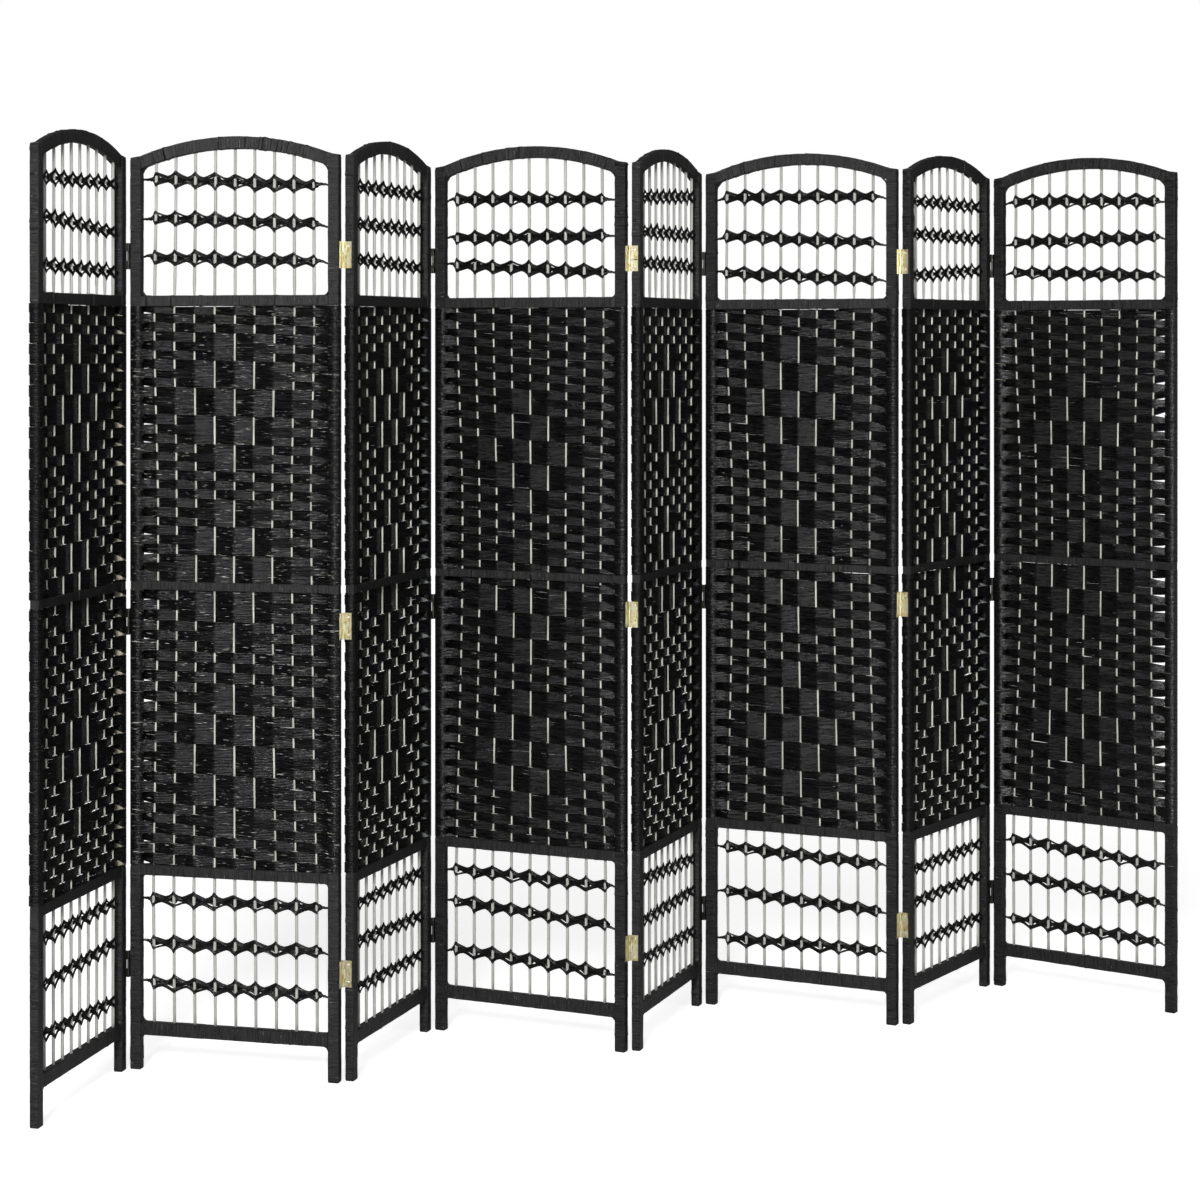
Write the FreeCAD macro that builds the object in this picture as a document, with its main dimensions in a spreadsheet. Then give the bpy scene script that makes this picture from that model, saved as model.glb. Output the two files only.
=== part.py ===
import FreeCAD, Part
import Sketcher
import math
import os

# Folding screen of eight woven panels on butt hinges.
# Each piece is drawn once in the frame of one panel: X runs along the panel from
# its left end, Y goes through it with the front at minus Y, and Z is up from the floor.
# Every panel then gets its own copy, carried by the hinge chain.

os.makedirs("parts", exist_ok=True)
doc = FreeCAD.newDocument("folding_screen")

# Driving dimensions, in millimetres and degrees

DIMENSIONS = [
    ("panel_width", 400, "over both posts"),
    ("panel_height", 1700, "floor to the crown of the arched rail"),
    ("arch_rise", 40, "crown above the ends of the arch, at the panel's sides"),
    ("shoulder_fall", 3, "post top, from its inner edge down to its outer one"),
    ("post_width", 20, "seen from the front"),
    ("post_depth", 16, "front to back"),
    ("post_chamfer", 1.5, "long edges of a post"),
    ("foot_chamfer", 1.2, "edges round the foot of a post"),
    ("arch_rail_height", 21.5, "arched top rail"),
    ("rail_depth", 14, "all rails, front to back"),
    ("bottom_rail_height", 23, "bottom rail"),
    ("cross_rail_height", 18.5, "rails above and below the woven fields"),
    ("middle_rail_height", 14.5, "rail between the woven fields"),
    ("bottom_rail_level", 64, "underside of the bottom rail"),
    ("lower_rail_level", 356, "underside of the rail below the lower field"),
    ("middle_rail_share", 0.516, "underside of the middle rail, as a share of the height"),
    ("upper_rail_drop", 306, "crown down to the underside of the rail above the upper field"),
    ("rod_diameter", 4.6, "across the corners of a rod"),
    ("rod_edge_gap", 28, "post to the centre of the nearest rod"),
    ("rod_clearance", 0.3, "cords and rails to a rod"),
    ("weave_thickness", 2, "cord bundle of the woven fields"),
    ("band_height", 18, "mean height of a twisted band"),
    ("band_back_height", 12, "height of its back ribbon"),
    ("band_thickness", 1.6, "one ribbon of a twisted band"),
    ("band_bottom_low", 149, "centre of the lowest band"),
    ("band_bottom_middle", 233, "centre of the next band"),
    ("band_bottom_high", 307, "centre of the next band"),
    ("band_top_low_drop", 232, "crown down to the lowest band of the top opening"),
    ("band_top_middle_drop", 162, "crown down to the next band"),
    ("band_top_high_drop", 90, "crown down to the highest band"),
    ("hinge_gap", 4, "between two posts that stand in line"),
    ("hinge_height", 48, "height of a leaf"),
    ("hinge_low", 193, "centre of the lowest hinge"),
    ("hinge_middle_share", 0.481, "centre of the middle hinge, as a share of the height"),
    ("hinge_high_drop", 215, "crown down to the centre of the highest hinge"),
    ("leaf_thickness", 1.3, "sheet of a hinge leaf"),
    ("leaf_width", 13, "flat of a leaf on the end of a post"),
    ("leaf_overhang", 0.6, "flat of a leaf past the face of the post"),
    ("pin_offset", 3.6, "hinge axis outside the face of the post"),
    ("pin_diameter", 2.4, "hinge pin"),
    ("pin_clearance", 0.05, "round the pin in the middle knuckle"),
    ("knuckle_diameter", 5, "across the corners of a knuckle"),
    ("knuckle_gap", 0.3, "between two knuckles along the pin"),
    ("screen_x", 0, "left end of the first panel"),
    ("screen_y", 0, "left end of the first panel"),
    ("first_angle", 55, "direction of the first panel"),
    ("fold_angle_1_2", 91, "fold at a hinge line, 0 when in line"),
    ("fold_angle_2_3", 86, "fold at a hinge line"),
    ("fold_angle_3_4", 97.5, "fold at a hinge line"),
    ("fold_angle_4_5", 95.5, "fold at a hinge line"),
    ("fold_angle_5_6", 96, "fold at a hinge line"),
    ("fold_angle_6_7", 84.5, "fold at a hinge line"),
    ("fold_angle_7_8", 96, "fold at a hinge line"),
]

PANEL_COUNT = 8
ROD_COUNT = 9
ROD_SIDES = 6
KNUCKLE_SIDES = 8
KNUCKLE_COUNT = 3

# Datum of a new constraint until its expression sets it
FIRST_DATUM = 1.0

sizes = doc.addObject("Spreadsheet::Sheet", "sizes")
for row, (alias, number, meaning) in enumerate(DIMENSIONS, 1):
    sizes.set("A%d" % row, alias)
    sizes.set("B%d" % row, str(number))
    sizes.set("C%d" % row, meaning)
    sizes.setAlias("B%d" % row, alias)
doc.recompute()

# Lengths that several pieces share, as expressions over the sheet

HALF_WIDTH = "sizes.panel_width / 2"
ARCH_RADIUS = "((sizes.panel_width / 2) ^ 2 + sizes.arch_rise ^ 2) / (2 * sizes.arch_rise)"
ARCH_CENTRE = "sizes.panel_height - (%s)" % ARCH_RADIUS
OPENING_WIDTH = "sizes.panel_width - 2 * sizes.post_width"
ROD_PITCH = "(%s - 2 * sizes.rod_edge_gap) / %d" % (OPENING_WIDTH, ROD_COUNT - 1)
FIRST_ROD = "sizes.post_width + sizes.rod_edge_gap"
MIDDLE_RAIL_LEVEL = "sizes.panel_height * sizes.middle_rail_share"
UPPER_RAIL_LEVEL = "sizes.panel_height - sizes.upper_rail_drop"
ROD_SEAT = "sizes.bottom_rail_level + sizes.bottom_rail_height"
ROD_FLAT = "sizes.rod_diameter / 2 * %.6f" % math.cos(math.pi / ROD_SIDES)
PIN_REACH = "sizes.post_depth / 2 + sizes.pin_offset"
KNUCKLE_LENGTH = "(sizes.hinge_height - %d * sizes.knuckle_gap) / %d" % (
    KNUCKLE_COUNT - 1,
    KNUCKLE_COUNT,
)

# Centres of the twisted bands and of the hinges above the floor

BAND_LEVELS = [
    ("bottom_low", "sizes.band_bottom_low"),
    ("bottom_middle", "sizes.band_bottom_middle"),
    ("bottom_high", "sizes.band_bottom_high"),
    ("top_low", "sizes.panel_height - sizes.band_top_low_drop"),
    ("top_middle", "sizes.panel_height - sizes.band_top_middle_drop"),
    ("top_high", "sizes.panel_height - sizes.band_top_high_drop"),
]
HINGE_LEVELS = [
    ("low", "sizes.hinge_low"),
    ("middle", "sizes.panel_height * sizes.hinge_middle_share"),
    ("high", "sizes.panel_height - sizes.hinge_high_drop"),
]


def arch_height(x, radius):
    """Height of a circle round the arch centre, above the floor, at x along the panel."""
    return "%s + sqrt((%s) ^ 2 - (%s - (%s)) ^ 2)" % (ARCH_CENTRE, radius, HALF_WIDTH, x)


# Small helpers


def bind(thing, **expressions):
    """Bind properties of an object to expressions over the sheet."""
    for name, expression in expressions.items():
        thing.setExpression(name, expression)
    return thing


def put(thing, x="0", y="0", z="0", turn="0"):
    """Place an object in the panel frame by expressions."""
    spin = "rotation(vector(0; 0; 1); %s)" % turn
    thing.setExpression("Placement", "placement(vector(%s; %s; %s); %s)" % (x, y, z, spin))
    return thing


def box(name, length, width, height, x="0", y="0", z="0"):
    """Box whose sizes and low corner are expressions."""
    block = doc.addObject("Part::Box", name)
    bind(block, Length=length, Width=width, Height=height)
    return put(block, x, y, z)


def prism(name, sides, radius, height, x="0", y="0", z="0"):
    """Upright prism with a given number of sides."""
    column = doc.addObject("Part::Prism", name)
    column.Polygon = sides
    bind(column, Circumradius=radius, Height=height)
    return put(column, x, y, z)


def gather(name, members):
    """One compound of several separate solids."""
    group = doc.addObject("Part::Compound", name)
    group.Links = members
    return group


def joined(name, members):
    """One solid from several that overlap."""
    union = doc.addObject("Part::MultiFuse", name)
    union.Shapes = members
    return union


def less(name, base, tool):
    """The base with the tool taken away."""
    cut = doc.addObject("Part::Cut", name)
    cut.Base = base
    cut.Tool = tool
    return cut


def origin_plane(body, role):
    """One of a body's own origin planes."""
    for feature in body.Origin.OriginFeatures:
        if feature.Role == role:
            return feature
    raise ValueError("no origin plane " + role)


def new_sketch(body, name, role):
    """Sketch on an origin plane of the body."""
    sketch = body.newObject("Sketcher::SketchObject", name)
    sketch.AttachmentSupport = [(origin_plane(body, role), "")]
    sketch.MapMode = "FlatFace"
    return sketch


def closed_outline(sketch, corners):
    """Closed run of straight lines through corners given as pairs of expressions."""
    count = len(corners)
    for index in range(count):
        angle = 2 * math.pi * index / count
        after = 2 * math.pi * (index + 1) / count
        start = FreeCAD.Vector(math.cos(angle), math.sin(angle), 0)
        finish = FreeCAD.Vector(math.cos(after), math.sin(after), 0)
        sketch.addGeometry(Part.LineSegment(start, finish), False)
    for index in range(count):
        follower = (index + 1) % count
        sketch.addConstraint(Sketcher.Constraint("Coincident", index, 2, follower, 1))
    for index, (across, up) in enumerate(corners):
        for kind, expression in (("DistanceX", across), ("DistanceY", up)):
            datum = Sketcher.Constraint(kind, -1, 1, index, 1, FIRST_DATUM)
            number = sketch.addConstraint(datum)
            sketch.setExpression("Constraints[%d]" % number, expression)


def padded(body, name, sketch, length, middle):
    """Pad of a sketch, through the middle of its plane or to one side."""
    pad = body.newObject("PartDesign::Pad", name)
    pad.Profile = sketch
    pad.setExpression("Length", length)
    if middle:
        pad.Midplane = True
    return pad


# Frame pieces


def post():
    """Left post: a stick with an almost level top beside the arch, chamfered on its edges."""
    body = doc.addObject("PartDesign::Body", "post")
    sketch = new_sketch(body, "post_front", "XZ_Plane")
    inner_top = arch_height("sizes.post_width", ARCH_RADIUS)
    outer_top = "%s - sizes.shoulder_fall" % inner_top
    corners = [
        ("0", "0"),
        ("sizes.post_width", "0"),
        ("sizes.post_width", inner_top),
        ("0", outer_top),
    ]
    closed_outline(sketch, corners)
    pad = padded(body, "post_pad", sketch, "sizes.post_depth", True)
    doc.recompute()
    long_edges = []
    foot_edges = []
    for index, edge in enumerate(pad.Shape.Edges, 1):
        low = edge.BoundBox.ZMin
        high = edge.BoundBox.ZMax
        if high - low > pad.Shape.BoundBox.ZLength / 2:
            long_edges.append("Edge%d" % index)
        elif high < pad.Shape.BoundBox.ZLength / 2:
            foot_edges.append("Edge%d" % index)
    foot = body.newObject("PartDesign::Chamfer", "foot_bevel")
    foot.Base = (pad, foot_edges)
    bind(foot, Size="sizes.foot_chamfer")
    doc.recompute()
    sides = []
    for index, edge in enumerate(foot.Shape.Edges, 1):
        if edge.BoundBox.ZLength > foot.Shape.BoundBox.ZLength / 2:
            sides.append("Edge%d" % index)
    bevel = body.newObject("PartDesign::Chamfer", "post_bevel")
    bevel.Base = (foot, sides)
    bind(bevel, Size="sizes.post_chamfer")
    body.Tip = bevel
    return body


def mirrored_post(left):
    """Right post, the left one mirrored about the middle of the panel."""
    right = doc.addObject("Part::Mirroring", "post_mirrored")
    right.Source = left
    right.Normal = FreeCAD.Vector(1, 0, 0)
    right.setExpression("Base.x", HALF_WIDTH)
    return right


def arch_rail():
    """Arched top rail between the posts, two arcs round one centre."""
    body = doc.addObject("PartDesign::Body", "arch_rail")
    sketch = new_sketch(body, "arch_front", "XZ_Plane")
    # The drawing starts close to its true shape, so that the solver keeps the upper arcs
    half = sizes.panel_width / 2
    outer = (half**2 + sizes.arch_rise**2) / (2 * sizes.arch_rise)
    inner = outer - sizes.arch_rail_height
    middle = FreeCAD.Vector(half, sizes.panel_height - outer, 0)
    spread = math.asin((half - sizes.post_width) / outer)
    start = math.pi / 2 - spread
    finish = math.pi / 2 + spread
    for radius in (outer, inner):
        circle = Part.Circle(middle, FreeCAD.Vector(0, 0, 1), radius)
        sketch.addGeometry(Part.ArcOfCircle(circle, start, finish), False)
    for angle in (finish, start):
        ray = FreeCAD.Vector(math.cos(angle), math.sin(angle), 0)
        sketch.addGeometry(Part.LineSegment(middle + ray * outer, middle + ray * inner), False)
    # 0 is the outer arc, 1 the inner arc, 2 the left end and 3 the right end
    for arc, arc_end, side, side_end in (
        (0, 2, 2, 1),
        (1, 2, 2, 2),
        (0, 1, 3, 1),
        (1, 1, 3, 2),
    ):
        sketch.addConstraint(Sketcher.Constraint("Coincident", arc, arc_end, side, side_end))
    sketch.addConstraint(Sketcher.Constraint("Coincident", 0, 3, 1, 3))
    sketch.addConstraint(Sketcher.Constraint("Vertical", 2))
    sketch.addConstraint(Sketcher.Constraint("Vertical", 3))
    right_end = "sizes.panel_width - sizes.post_width"
    inner_radius = "%s - sizes.arch_rail_height" % ARCH_RADIUS
    left_x = float(sizes.post_width)
    right_x = 2 * half - left_x
    drives = [
        (Sketcher.Constraint("Radius", 0, outer), ARCH_RADIUS),
        (Sketcher.Constraint("Radius", 1, inner), inner_radius),
        (Sketcher.Constraint("DistanceX", -1, 1, 0, 3, middle.x), HALF_WIDTH),
        (Sketcher.Constraint("DistanceY", -1, 1, 0, 3, middle.y), ARCH_CENTRE),
        (Sketcher.Constraint("DistanceX", -1, 1, 2, 1, left_x), "sizes.post_width"),
        (Sketcher.Constraint("DistanceX", -1, 1, 3, 1, right_x), right_end),
    ]
    for constraint, expression in drives:
        number = sketch.addConstraint(constraint)
        sketch.setExpression("Constraints[%d]" % number, expression)
    pad = padded(body, "arch_pad", sketch, "sizes.rail_depth", True)
    body.Tip = pad
    return body


def straight_rail(name, level, height, depth, front):
    """Straight rail between the posts, from a front face at a given place."""
    return box(name, OPENING_WIDTH, depth, height, "sizes.post_width", front, level)


def cross_rail(name, level, height):
    """Cross rail in two halves that clamp the rods between them."""
    half_depth = "sizes.rail_depth / 2 - (%s)" % ROD_FLAT
    front = straight_rail(name + "_front", level, height, half_depth, "-sizes.rail_depth / 2")
    back = straight_rail(name + "_back", level, height, half_depth, ROD_FLAT)
    return [front, back]


def rails():
    """All rails of one panel, from the bottom to the arch."""
    pieces = [
        straight_rail(
            "bottom_rail",
            "sizes.bottom_rail_level",
            "sizes.bottom_rail_height",
            "sizes.rail_depth",
            "-sizes.rail_depth / 2",
        )
    ]
    pieces += cross_rail("lower_rail", "sizes.lower_rail_level", "sizes.cross_rail_height")
    pieces += cross_rail("middle_rail", MIDDLE_RAIL_LEVEL, "sizes.middle_rail_height")
    pieces += cross_rail("upper_rail", UPPER_RAIL_LEVEL, "sizes.cross_rail_height")
    pieces.append(arch_rail())
    return gather("rail_set", pieces)


# Rods and weave


def rod_place(index):
    """Distance of a rod's centre from the left end of the panel."""
    return "%s + %d * (%s)" % (FIRST_ROD, index, ROD_PITCH)


def rods():
    """Upright rods, each cut to length under the arch."""
    inner_radius = "%s - sizes.arch_rail_height" % ARCH_RADIUS
    members = []
    for index in range(ROD_COUNT):
        place = rod_place(index)
        reach = "abs(%s - (%s)) + sizes.rod_diameter / 2" % (HALF_WIDTH, place)
        under_arch = "%s + sqrt((%s) ^ 2 - (%s) ^ 2)" % (ARCH_CENTRE, inner_radius, reach)
        length = "%s - (%s)" % (under_arch, ROD_SEAT)
        name = "rod_%d" % (index + 1)
        members.append(prism(name, ROD_SIDES, "sizes.rod_diameter / 2", length, place, "0", ROD_SEAT))
    return gather("rod_set", members)


def woven_field(name, low, high):
    """Woven field between two rails: a strip that passes the rods on alternate sides."""
    body = doc.addObject("PartDesign::Body", name)
    sketch = new_sketch(body, name + "_plan", "XY_Plane")
    swing = "sizes.rod_diameter / 2 + sizes.rod_clearance + sizes.weave_thickness / 2"
    turns = [("sizes.post_width", "0")]
    for index in range(ROD_COUNT):
        side = "-1" if index % 2 == 0 else "1"
        turns.append((rod_place(index), "%s * (%s)" % (side, swing)))
    turns.append(("sizes.panel_width - sizes.post_width", "0"))
    front = [(x, "%s - sizes.weave_thickness / 2" % y) for x, y in turns]
    back = [(x, "%s + sizes.weave_thickness / 2" % y) for x, y in reversed(turns)]
    closed_outline(sketch, front + back)
    pad = padded(body, name + "_pad", sketch, "%s - (%s)" % (high, low), False)
    body.Tip = pad
    return put(body, z=low)


def weave():
    """The two woven fields of one panel."""
    lower = woven_field(
        "lower_field",
        "sizes.lower_rail_level + sizes.cross_rail_height",
        MIDDLE_RAIL_LEVEL,
    )
    upper = woven_field(
        "upper_field",
        MIDDLE_RAIL_LEVEL + " + sizes.middle_rail_height",
        UPPER_RAIL_LEVEL,
    )
    return gather("weave_set", [lower, upper])


def bands():
    """Twisted bands of the two open fields, a front and a back ribbon each."""
    clear = "(sizes.rod_diameter / 2 + sizes.rod_clearance)"
    members = []
    for level, centre in BAND_LEVELS:
        for side, height, front in (
            ("front", "sizes.band_height", "-%s - sizes.band_thickness" % clear),
            ("back", "sizes.band_back_height", clear),
        ):
            low = "%s - %s / 2" % (centre, height)
            name = "band_%s_%s" % (level, side)
            ribbon = box(name, OPENING_WIDTH, "sizes.band_thickness", height)
            members.append(put(ribbon, "sizes.post_width", front, low))
    return gather("band_set", members)


# Hinges, drawn round the pin axis with the leaf towards minus Y


def leaf(name, face, knuckles, hollow):
    """Hinge leaf on the post face at x = face, its knuckles rolled round a hollow."""
    pieces = []
    plate_end = "-sizes.pin_offset + sizes.leaf_overhang"
    plate = box(name + "_plate", "sizes.leaf_thickness", "sizes.leaf_width", "sizes.hinge_height")
    pieces.append(put(plate, face, "%s - sizes.leaf_width" % plate_end))
    for index in knuckles:
        low = "%d * (%s + sizes.knuckle_gap)" % (index, KNUCKLE_LENGTH)
        tongue = box(
            "%s_tongue_%d" % (name, index + 1),
            "sizes.leaf_thickness",
            "sizes.pin_offset",
            KNUCKLE_LENGTH,
        )
        pieces.append(put(tongue, face, "-sizes.pin_offset", low))
        barrel = prism(
            "%s_knuckle_%d" % (name, index + 1),
            KNUCKLE_SIDES,
            "sizes.knuckle_diameter / 2",
            KNUCKLE_LENGTH,
        )
        pieces.append(put(barrel, z=low))
    return less(name, joined(name + "_blank", pieces), hollow)


def eye(name, clearance):
    """Inside of rolled knuckles: its flats lie round the pin at a given clearance."""
    corner_share = 1 / math.cos(math.pi / KNUCKLE_SIDES)
    corner = "(sizes.pin_diameter / 2 + %s) * %.6f" % (clearance, corner_share)
    return prism(name, KNUCKLE_SIDES, corner, "sizes.hinge_height")


def middle_leaf():
    """Leaf with the middle knuckle, which turns round the pin."""
    running = eye("running_eye", "sizes.pin_clearance")
    return leaf("middle_leaf", "-sizes.hinge_gap / 2", [1], running)


def outer_leaf():
    """Leaf with the two outer knuckles, rolled tight round the pin."""
    tight = eye("tight_eye", "0")
    return leaf("outer_leaf", "sizes.hinge_gap / 2 - sizes.leaf_thickness", [0, 2], tight)


def pin():
    """Hinge pin as long as the leaves."""
    rod = doc.addObject("Part::Cylinder", "pin")
    return bind(rod, Radius="sizes.pin_diameter / 2", Height="sizes.hinge_height")


def hinge_line(name, master, at_right_end, at_back):
    """Three copies of a hinge piece at one end and one face of a panel."""
    x = "sizes.panel_width + sizes.hinge_gap / 2" if at_right_end else "-sizes.hinge_gap / 2"
    y = PIN_REACH if at_back else "-(%s)" % PIN_REACH
    turn = "0" if at_back else "180"
    copies = []
    for level, centre in HINGE_LEVELS:
        copy = gather("%s_%s" % (name, level), [master])
        z = "%s - sizes.hinge_height / 2" % centre
        copies.append(put(copy, x, y, z, turn))
    return copies


# Masters of one panel

left_post = post()
right_post = mirrored_post(left_post)
rail_set = rails()
rod_set = rods()
weave_set = weave()
band_set = bands()

middle_master = middle_leaf()
outer_master = outer_leaf()
pin_master = pin()

# Odd panels hold the outer knuckles and the pins, even panels the middle knuckle.
# At an odd panel's left end and an even panel's right end the pin is at the back.
odd_left = hinge_line("outer_left", outer_master, False, True)
odd_right = hinge_line("outer_right", outer_master, True, False)
pins_left = hinge_line("pins_left", pin_master, False, True)
pins_right = hinge_line("pins_right", pin_master, True, False)
even_left = hinge_line("middle_left", middle_master, False, False)
even_right = hinge_line("middle_right", middle_master, True, True)


# Panels, each carried by the one before it


def leading_place(number):
    """Placement of a panel from the one before it, about their hinge axis."""
    if number == 1:
        start = "vector(sizes.screen_x; sizes.screen_y; 0)"
        return "placement(%s; rotation(vector(0; 0; 1); sizes.first_angle))" % start
    side = "-1" if number % 2 == 0 else "1"
    fold = "%s * sizes.fold_angle_%d_%d" % (side, number - 1, number)
    reach = "%s * (%s)" % (side, PIN_REACH)
    to_pin = "vector(sizes.panel_width + sizes.hinge_gap / 2; %s; 0)" % reach
    from_pin = "vector(sizes.hinge_gap / 2; -1 * %s; 0)" % reach
    return (
        "panel_%d_left_post.Placement"
        " * placement(%s; rotation(vector(0; 0; 1); %s))"
        " * placement(%s; rotation(vector(0; 0; 1); 0))"
    ) % (number - 1, to_pin, fold, from_pin)


def panel(number):
    """All sub-parts of one panel, by name."""
    odd = number % 2 == 1
    leaves = []
    pins = []
    if number > 1:
        leaves += odd_left if odd else even_left
        pins += pins_left if odd else []
    if number < PANEL_COUNT:
        leaves += odd_right if odd else even_right
        pins += pins_right if odd else []
    members = [
        ("left_post", [left_post]),
        ("right_post", [right_post]),
        ("rails", [rail_set]),
        ("rods", [rod_set]),
        ("weave", [weave_set]),
        ("bands", [band_set]),
        ("hinges", leaves),
    ]
    if pins:
        members.append(("hinge_pins", pins))
    pieces = []
    for name, masters in members:
        piece = gather("panel_%d_%s" % (number, name), masters)
        piece.Label = "panel_%d_%s" % (number, name)
        pieces.append(piece)
    pieces[0].setExpression("Placement", leading_place(number))
    for piece in pieces[1:]:
        piece.setExpression("Placement", pieces[0].Name + ".Placement")
    return pieces


nodes = []
for number in range(1, PANEL_COUNT + 1):
    nodes += panel(number)
doc.recompute()


# The screen stands over the origin, so its start follows from its own extent


def set_size(alias, number):
    """Write a number into the cell that holds a named size."""
    sizes.set(sizes.getCellFromAlias(alias), str(number))


extent = FreeCAD.BoundBox()
for node in nodes:
    extent.add(node.Shape.BoundBox)
set_size("screen_x", -extent.Center.x)
set_size("screen_y", -extent.Center.y)
doc.recompute()

# Check, then write one file for each sub-part

for thing in doc.Objects:
    if "Invalid" in thing.State or "Error" in thing.State:
        raise RuntimeError("%s is %s" % (thing.Name, thing.State))
for node in nodes:
    if node.Shape.isNull() or not node.Shape.isValid():
        raise RuntimeError(node.Label + " has no valid shape")
for node in nodes:
    node.Shape.exportStep(os.path.join("parts", node.Label + ".step"))
print("wrote %d sub-parts" % len(nodes))
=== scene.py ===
"""Looks of the folding room divider: eight arched panels woven with black paper cord."""

import math
import random

import bpy
import numpy as np
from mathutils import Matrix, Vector


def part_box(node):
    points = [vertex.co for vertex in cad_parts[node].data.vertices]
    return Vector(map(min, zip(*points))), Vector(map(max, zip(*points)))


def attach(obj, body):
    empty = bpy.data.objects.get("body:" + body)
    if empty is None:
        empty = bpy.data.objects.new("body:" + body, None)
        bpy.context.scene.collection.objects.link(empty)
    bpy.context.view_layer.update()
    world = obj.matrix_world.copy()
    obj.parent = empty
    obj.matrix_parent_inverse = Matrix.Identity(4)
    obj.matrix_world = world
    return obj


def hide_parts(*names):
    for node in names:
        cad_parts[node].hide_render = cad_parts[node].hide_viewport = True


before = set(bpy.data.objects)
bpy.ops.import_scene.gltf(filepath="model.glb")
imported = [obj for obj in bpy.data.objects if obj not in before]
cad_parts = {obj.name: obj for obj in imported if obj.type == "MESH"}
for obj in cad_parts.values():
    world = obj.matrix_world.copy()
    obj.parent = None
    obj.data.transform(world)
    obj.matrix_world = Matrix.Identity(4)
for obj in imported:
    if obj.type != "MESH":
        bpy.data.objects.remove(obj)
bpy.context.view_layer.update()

MM = 0.001
PANELS = range(1, 9)
SEEDS = {"rods": 100, "corners": 300, "bands": 700, "windings": 900, "upper": 1, "lower": 2}

# Frame of one panel, millimetres, X along the panel from its left end, -Y its front.
PANEL_WIDTH = 400.0
POST_WIDTH = 20.0
POST_DEPTH = 16.0
RAIL_DEPTH = 14.0
BOTTOM_RAIL = (64.0, 87.0)
LOWER_RAIL = (356.0, 374.5)
MIDDLE_RAIL = (877.2, 891.7)
UPPER_RAIL = (1394.0, 1412.5)
CROWN = 1700.0
ARCH_RISE = 40.0
ARCH_RAIL = 21.5
ARCH_OUTER = ((PANEL_WIDTH / 2) ** 2 + ARCH_RISE**2) / (2 * ARCH_RISE)
ARCH_CENTRE = CROWN - ARCH_OUTER
SHOULDER_FALL = 3.0
BAND_LEVELS = (149.0, 233.0, 307.0, 1468.0, 1538.0, 1610.0)
HINGE_LEVELS = (193.0, 817.7, 1485.0)

# Hinge leaves: thickness, shift towards their pin, screws above and below the middle.
LEAF = 1.3
LEAF_SHIFT = 1.7
SCREW_OFFSET = 16.0

# Rods. Their girth is a share of the radius, in the openings and in the weave.
# They sink into the rails by ROD_SEAT and wander in waves of the lengths
# ROD_WAVES: two sideways, one in depth and one of their girth.
ROD_COUNT = 9
FIRST_ROD = 48.0
ROD_PITCH = 38.0
ROD_RADIUS = 2.3
RODS = [FIRST_ROD + ROD_PITCH * i for i in range(ROD_COUNT)]
ROD_SPAN = ROD_PITCH * (ROD_COUNT - 1)
OPEN_GIRTH = 1.28
WOVEN_GIRTH = 0.79
ROD_SIDES = 8
ROD_STEP = 24.0
ROD_SEAT = 3.0
ROD_WAVES = (190.0, 47.0, 140.0, 31.0)
ROD_BOW = (0.1, 0.45)
ROD_SWAY = 0.18
ROD_DIP = 0.15
ROD_UNEVEN = 0.05
BEND_BLUR = 45.0

# Woven rows: flat bundles of cords, given by half depths. A row lies ROW_LIE from
# the middle at a rod, and POST_LIE or, over another's tail, POST_OVER at a post.
# It overlaps the next by ROW_LAP, turns within ROD_BEND of a rod's middle and
# POST_EDGE of a post's edge, and is wider by SIDE_BULGE where it leaves a post's
# front. The edge between two rows shifts and waves, and a cord strays in places
# by the first value of CORD_STRAY and as a whole by the second.
CORDS = 7
CORD_DEPTH = 0.9
POST_CORD = 0.72
END_CORD = 0.45
CORD_SWELL = 1.12
DEPTH_SPREAD = 0.08
ROW_LIE = ROD_RADIUS + CORD_DEPTH + 0.05
ROD_BEND = 0.8
ROD_NEAR = 3.6
POST_EDGE = 1.6
POST_LIE = POST_DEPTH / 2 + 0.75
POST_OVER = POST_DEPTH / 2 + 1.9
POST_END = -0.50
RUN_IN = 29.5
ROW_LAP = 0.32
SIDE_LAP = 0.8
SIDE_BULGE = 1.1
EDGE_SHIFT = 0.9
EDGE_WAVE = 0.45
CORD_STRAY = (0.16, 0.14)
LEAST_ROW = 0.7

# Loose rows: their share, how far their upper edge drops, and over how many bays.
LOOSE_SHARE = 0.09
LOOSE_DROP = (0.62, 0.95)
LOOSE_BAYS = (1, 1, 1, 2)
LONG_LOOSE_BAYS = (1, 1, 2, 4)
LONG_LOOSE_PANELS = (1, 2)

# A notch under the rail above a field, where light comes through.
NOTCH_END_SHARE = 0.7
NOTCH_LENGTH = (80.0, 220.0)
NOTCH_DEPTH = (0.9, 1.7)

# How far the fields reach in behind the rails.
TUCK = 5.5

# Cord wound round rails and posts: height of one turn and of its rib, spread of
# both, base thickness, slow swelling, and knots, which are rare.
WINDING_PITCH = 2.3
WINDING_RIB = 0.30
PITCH_SPREAD = (0.75, 1.25)
RIB_SPREAD = (0.7, 1.3)
WINDING_BASE = 0.35
WINDING_CHAMFER = 1.3
SWELL_CHANCE = 0.2
SWELL_REACH = 0.30
SWELL_PACE = 0.4
KNOT_SIZE = (0.7, 1.5)
KNOT_CHANCE = 0.012
ARCH_KNOT_CHANCE = 0.05
ARCH_STATIONS = 33
SHARP_EDGE = math.radians(42)

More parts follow.
